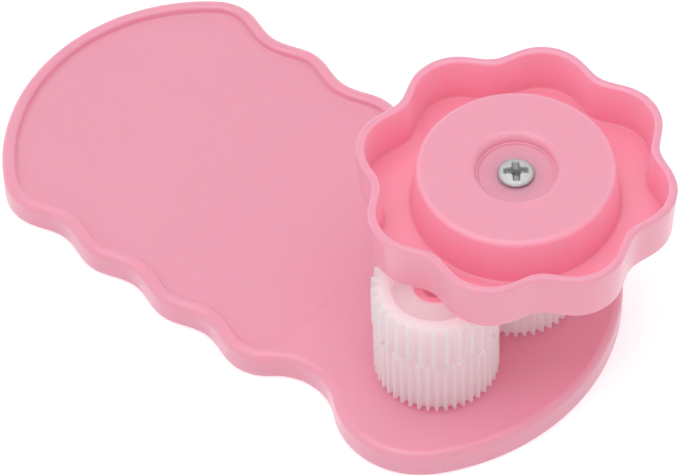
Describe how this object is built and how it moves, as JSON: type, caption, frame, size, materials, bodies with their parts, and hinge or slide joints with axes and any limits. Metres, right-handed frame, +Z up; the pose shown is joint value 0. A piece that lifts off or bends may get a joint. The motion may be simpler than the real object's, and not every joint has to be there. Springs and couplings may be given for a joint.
{
  "type": "paper crimper",
  "caption": "Flat scalloped handle carrying meshing toothed rollers with a coarse and a fine section, one pair turned by a lobed hand knob held by a screw.",
  "frame": {"origin": "on the table, under the middle of the object's bounding box", "axes": "+X along the handle towards the rollers, +Y across it towards the roller with the knob, +Z up along the rollers' axes"},
  "size_m": [0.128, 0.0692, 0.0395],
  "materials": {
    "pink_gloss_plastic": "soft gloss",
    "white_nylon": "satin, slightly translucent",
    "nickel_plated_steel": "polished"
  },
  "bodies": {
    "base": {"base_handle": "pink_gloss_plastic", "knob_screw": "nickel_plated_steel"},
    "driven_rollers": {"hand_knob": "pink_gloss_plastic", "driven_coarse_gear": "white_nylon", "driven_fine_gear": "white_nylon"},
    "idler_coarse_roller": {"idler_coarse_gear": "white_nylon"},
    "idler_fine_roller": {"idler_fine_gear": "white_nylon"}
  },
  "joints": [
    {"name": "knob_spin", "type": "hinge", "parent": "base", "child": "driven_rollers", "pos_m": [0.03688, 0.00752, 0.0173], "axis": [0, 0, 1], "continuous": true},
    {"name": "idler_coarse_spin", "type": "hinge", "parent": "base", "child": "idler_coarse_roller", "pos_m": [0.03688, -0.01378, 0.0229], "axis": [0, 0, 1], "continuous": true},
    {"name": "idler_fine_spin", "type": "hinge", "parent": "base", "child": "idler_fine_roller", "pos_m": [0.03688, -0.01378, 0.0119], "axis": [0, 0, 1], "continuous": true}
  ],
  "couplings": [
    {"joint": "idler_coarse_spin", "follows": "knob_spin", "ratio": -1},
    {"joint": "idler_fine_spin", "follows": "knob_spin", "ratio": -1}
  ]
}
